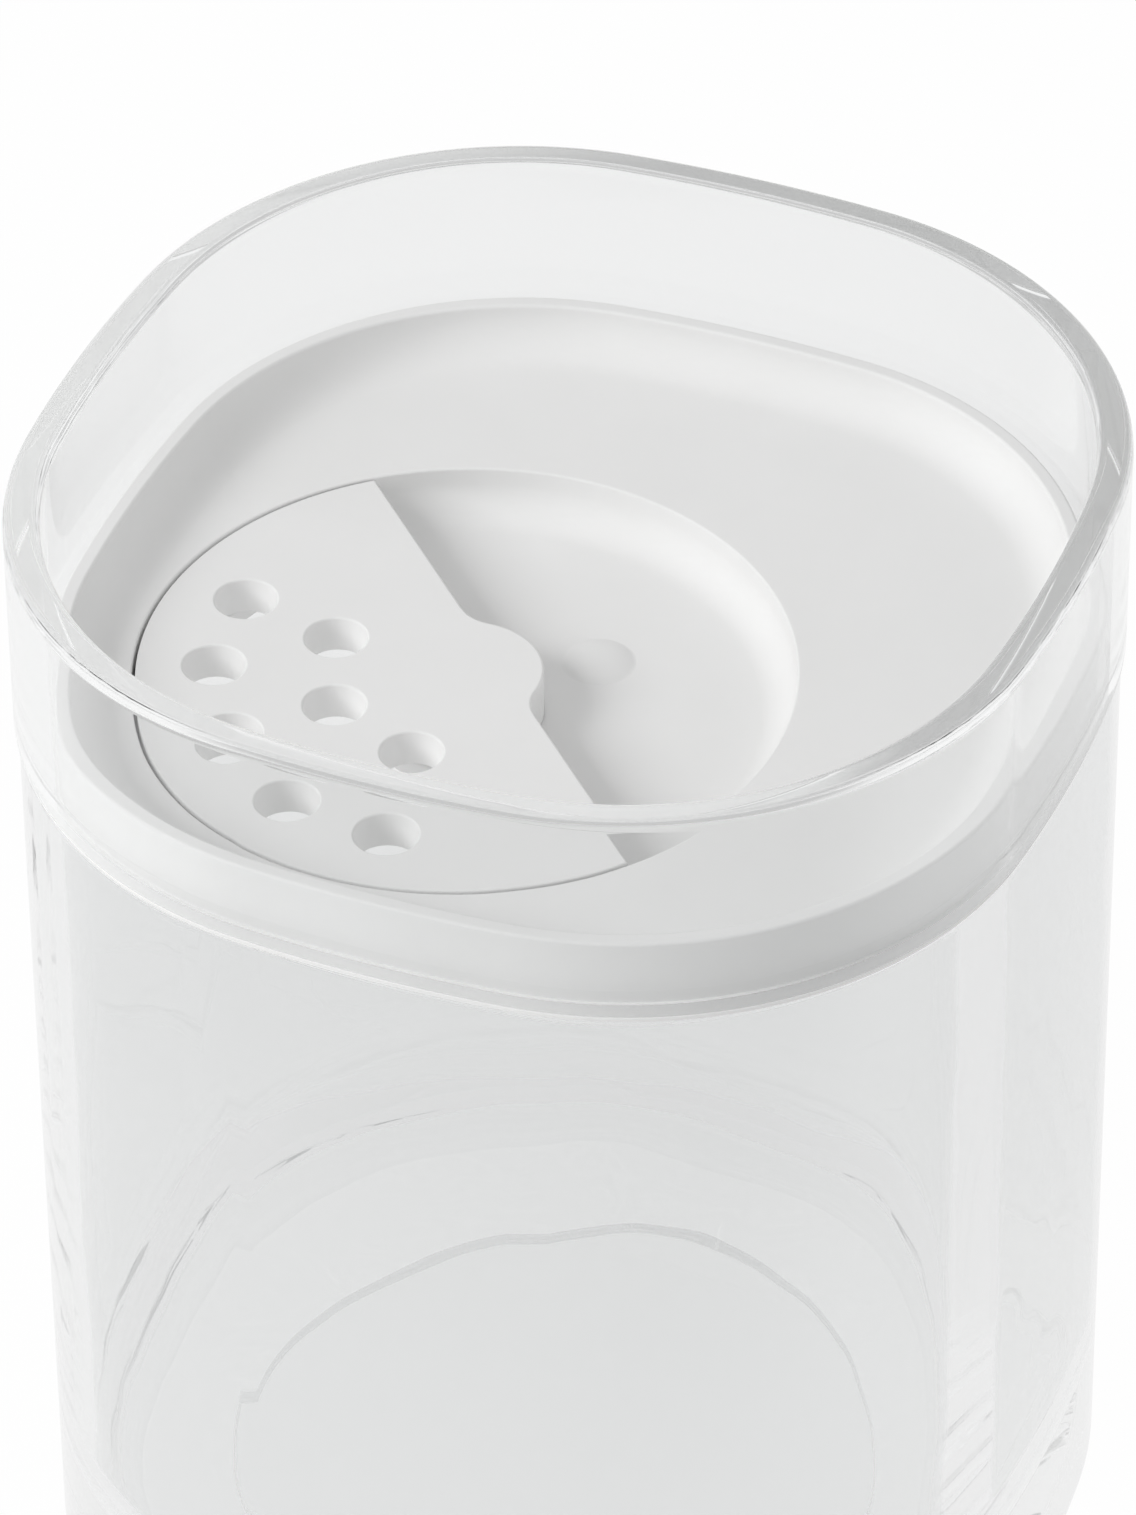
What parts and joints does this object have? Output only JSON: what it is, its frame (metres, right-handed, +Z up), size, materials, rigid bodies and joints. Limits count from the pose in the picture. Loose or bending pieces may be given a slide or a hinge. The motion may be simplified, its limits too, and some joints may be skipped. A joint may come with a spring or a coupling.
{
  "type": "spice jar",
  "caption": "Clear glass spice jar, a rounded square in plan, with a lift-off clear collar lid that holds a white shaker insert and a half-round dial with sprinkle holes.",
  "frame": {"origin": "middle of the jar's foot, on the surface that it stands on", "axes": "+Z up, X and Y square to the four flat sides; the dial's holes lie towards the corner -X -Y"},
  "size_m": [0.0604, 0.0604, 0.078],
  "materials": {
    "clear_glass": "polished clear",
    "clear_plastic": "polished clear",
    "silicone": "satin translucent",
    "white_plastic": "fine satin moulded"
  },
  "bodies": {
    "jar": {"glass_jar": "clear_glass"},
    "lid": {"lid_collar": "clear_plastic", "seal_ring": "silicone", "shaker_insert": "white_plastic"},
    "dial": {"shaker_dial": "white_plastic"}
  },
  "joints": [
    {"name": "lid_lift", "type": "slide", "parent": "jar", "child": "lid", "axis": [0, 0, 1], "range_m": [0, 0.03]},
    {"name": "dial_turn", "type": "hinge", "parent": "lid", "child": "dial", "pos_m": [-0.0047, -0.0047, 0.0656], "axis": [0, 0, 1], "continuous": true}
  ]
}
